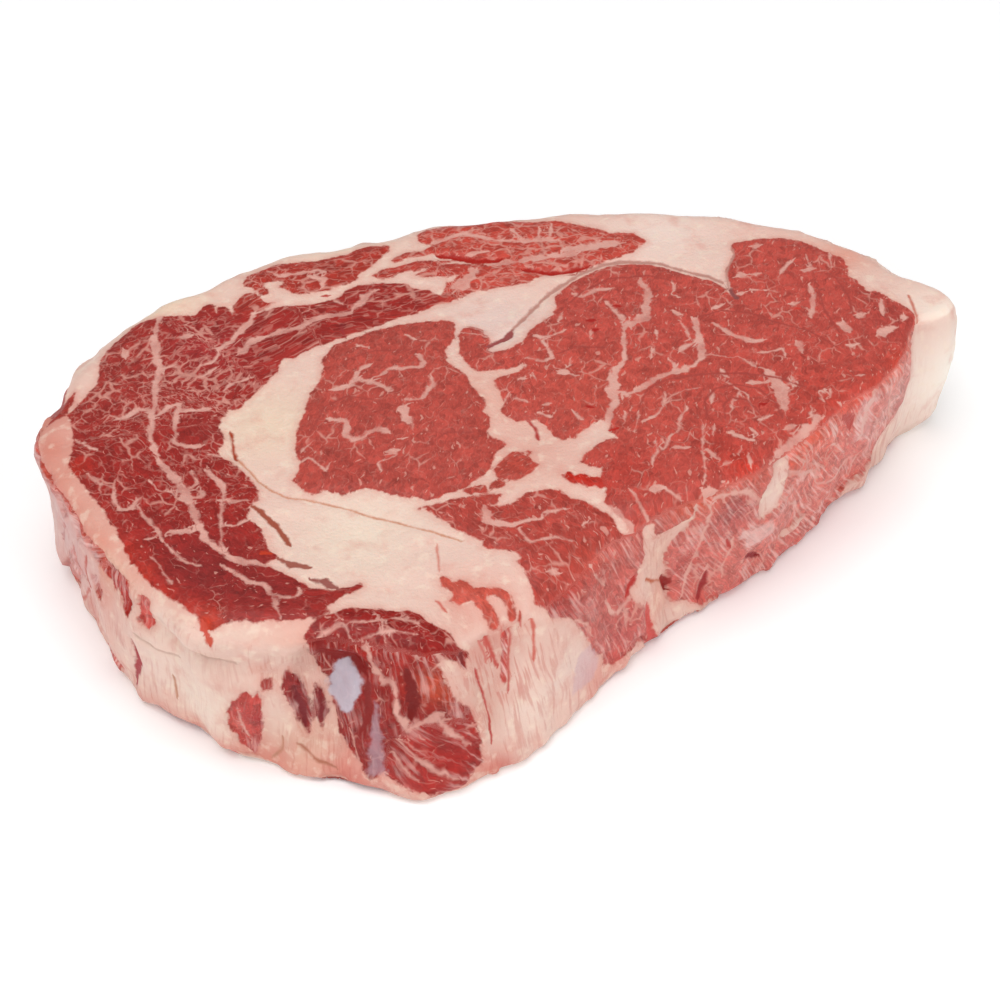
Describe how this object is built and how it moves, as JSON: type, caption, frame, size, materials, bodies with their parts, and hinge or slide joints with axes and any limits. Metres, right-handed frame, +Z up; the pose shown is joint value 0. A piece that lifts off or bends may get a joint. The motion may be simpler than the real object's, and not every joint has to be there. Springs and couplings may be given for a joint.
{
  "type": "raw ribeye steak",
  "caption": "Thick-cut raw boneless ribeye steak lying flat, with marbled eye and cap, kernel fat, a ragged tail and a lip of back fat.",
  "frame": {"origin": "middle of the steak's outline, on the flat lower cut face that it lies on", "axes": "+X along the longest extent towards the lip of back fat, +Y towards the back fat, -Y towards the tail and the rib side, +Z up out of the upper cut face"},
  "size_m": [0.2044, 0.142, 0.0372],
  "materials": {
    "raw_beef": "wet raw beef, red lean with cream fat"
  },
  "bodies": {
    "root": {"steak": "raw_beef"}
  },
  "joints": []
}
